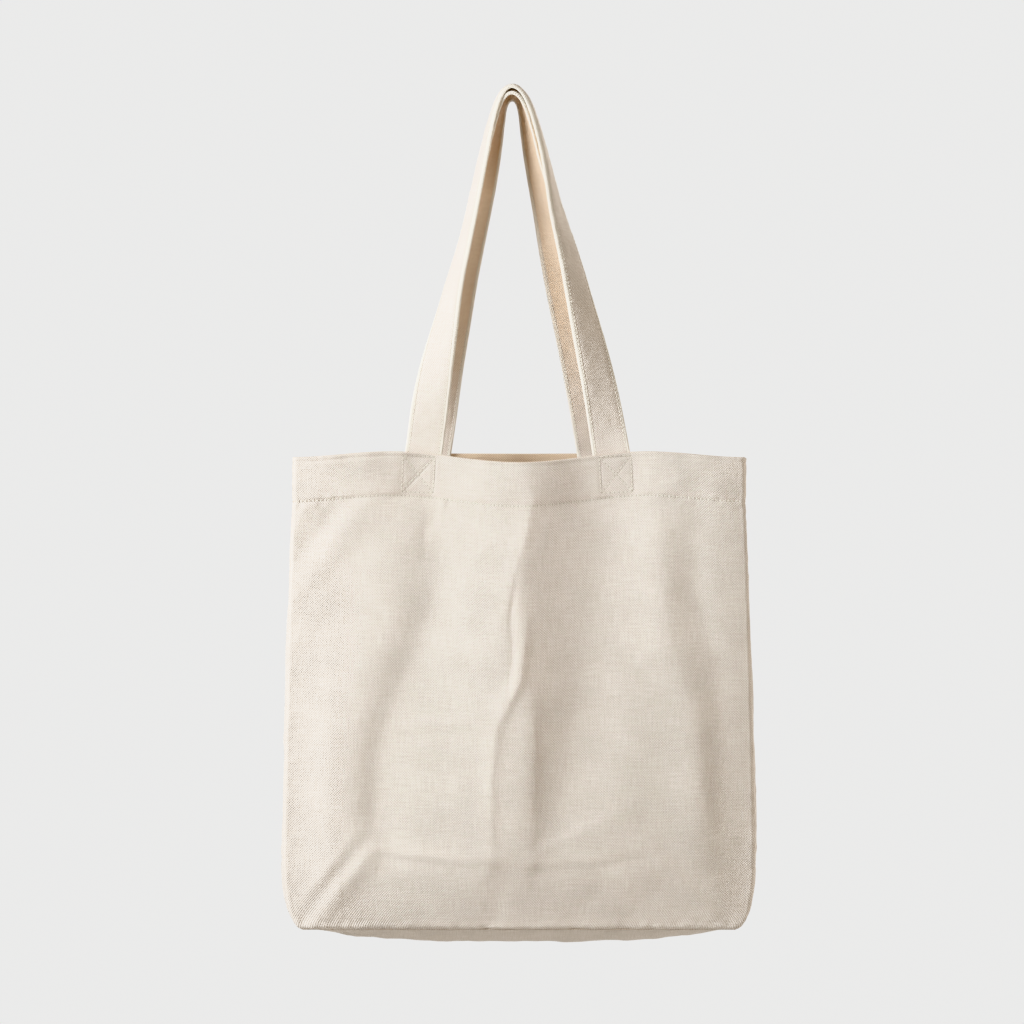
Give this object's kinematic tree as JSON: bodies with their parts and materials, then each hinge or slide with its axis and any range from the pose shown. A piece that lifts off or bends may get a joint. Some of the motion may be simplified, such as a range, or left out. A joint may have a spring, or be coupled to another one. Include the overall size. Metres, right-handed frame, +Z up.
{
  "type": "canvas tote bag",
  "caption": "Natural canvas tote bag with a boxed base, side gussets, a stitched hem and long flat handles, hanging by its handles.",
  "frame": {"origin": "the point the bag hangs from, on the underside of the lower handle at the top of its loop", "axes": "+Z up, towards the point it hangs from; the front faces -Y; +X to the right seen from the front"},
  "size_m": [0.3998, 0.117, 0.722],
  "materials": {
    "canvas": "undyed cotton canvas with a fine diagonal twill weave, matt",
    "handle_canvas": "the same canvas folded in four, matt",
    "thread": "undyed cotton sewing thread",
    "seam_tape": "undyed cotton twill tape"
  },
  "bodies": {
    "bag": {"back_panel": "canvas", "left_gusset": "canvas", "right_gusset": "canvas", "base_panel": "canvas", "back_left_seam_tape": "seam_tape", "back_right_seam_tape": "seam_tape", "base_seam_tape": "seam_tape", "back_hem_stitches": "thread", "left_gusset_hem_stitches": "thread", "right_gusset_hem_stitches": "thread", "back_handle_left_end": "handle_canvas", "back_handle_right_end": "handle_canvas", "back_left_box_stitch": "thread", "back_right_box_stitch": "thread"},
    "front_wall": {"front_panel": "canvas", "front_left_seam_tape": "seam_tape", "front_right_seam_tape": "seam_tape", "front_hem_stitches": "thread", "front_handle_left_end": "handle_canvas", "front_handle_right_end": "handle_canvas", "front_left_box_stitch": "thread", "front_right_box_stitch": "thread"},
    "front_handle": {"front_handle": "handle_canvas", "front_handle_inner_stitches": "thread", "front_handle_outer_stitches": "thread"},
    "back_handle": {"back_handle": "handle_canvas", "back_handle_inner_stitches": "thread", "back_handle_outer_stitches": "thread"}
  },
  "joints": [
    {"name": "mouth_open", "type": "hinge", "parent": "bag", "child": "front_wall", "pos_m": [0.0058, -0.058, -0.694], "axis": [1, 0, 0], "range_deg": [0, 3]},
    {"name": "front_handle_swing", "type": "hinge", "parent": "front_wall", "child": "front_handle", "pos_m": [0.0058, -0.0335, -0.3008], "axis": [1, 0, 0], "range_deg": [0, 172]},
    {"name": "back_handle_swing", "type": "hinge", "parent": "bag", "child": "back_handle", "pos_m": [0.0058, 0.0335, -0.3008], "axis": [-1, 0, 0], "range_deg": [0, 172]}
  ]
}
